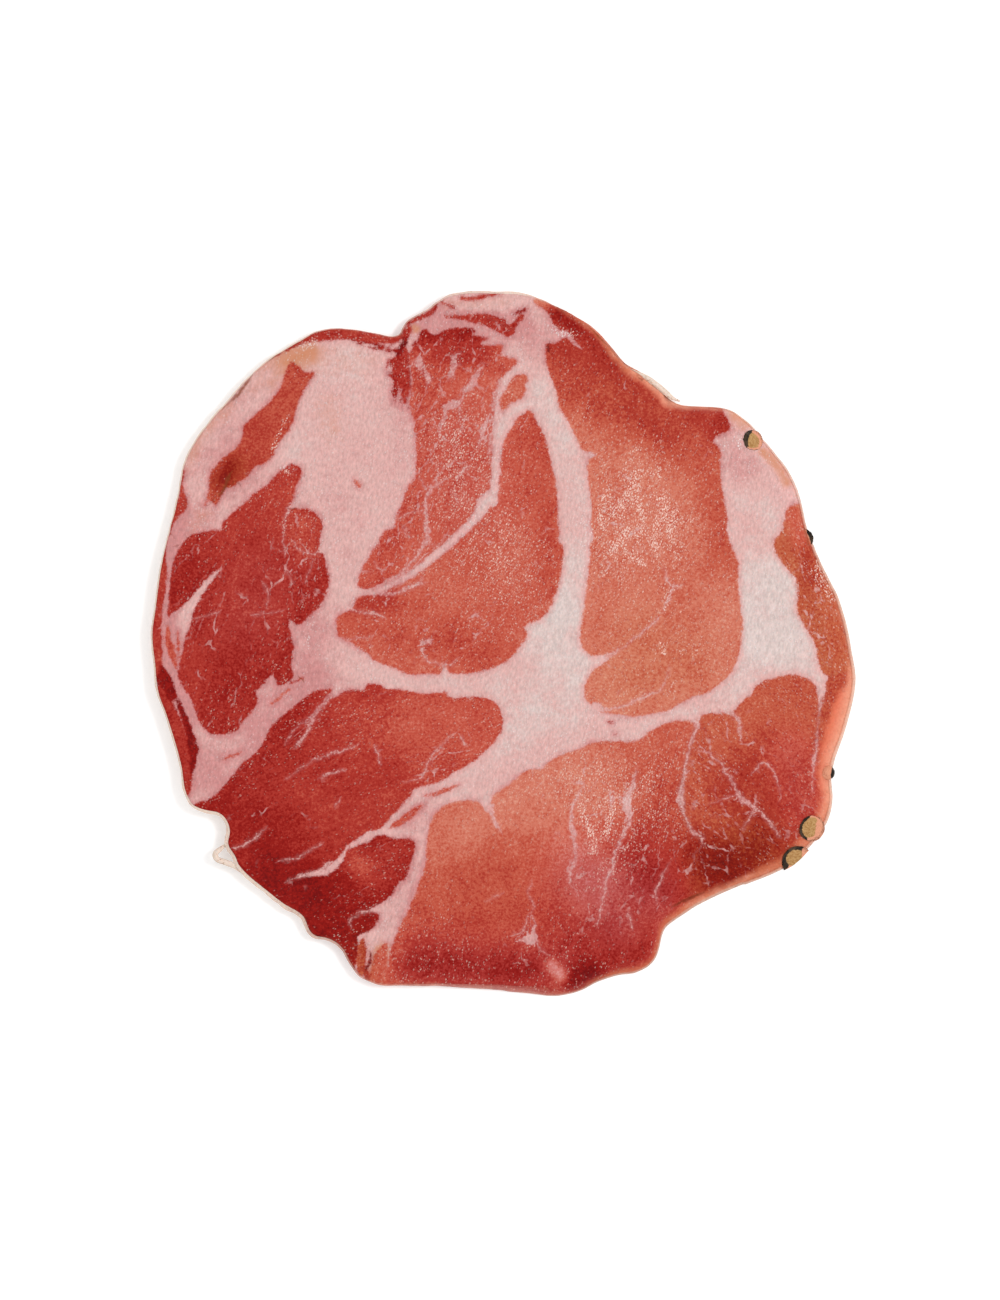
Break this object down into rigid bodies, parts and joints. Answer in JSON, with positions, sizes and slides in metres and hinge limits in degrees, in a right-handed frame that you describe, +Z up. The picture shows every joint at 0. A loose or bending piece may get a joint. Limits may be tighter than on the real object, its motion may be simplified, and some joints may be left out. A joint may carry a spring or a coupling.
{
  "type": "coppa slice",
  "caption": "Thin slice of dry-cured pork neck: red and salmon lean muscles parted by broad pale fat, with a slanting cut rim, casing and peppercorns.",
  "frame": {"origin": "middle of the slice's outline, at the level of the surface that it lies on", "axes": "+Z up out of the shown cut face, +X to the right and +Y to the top of the slice as seen from above"},
  "size_m": [0.1132, 0.1132, 0.004],
  "materials": {
    "cured_meat": "moist cut face, lean and fat marbled, satin with fine wet glints",
    "casing": "thin, dry, creased skin",
    "peppercorn": "matte, wrinkled shell with a tan heart"
  },
  "bodies": {
    "root": {"coppa_slice": "cured_meat"}
  },
  "joints": []
}
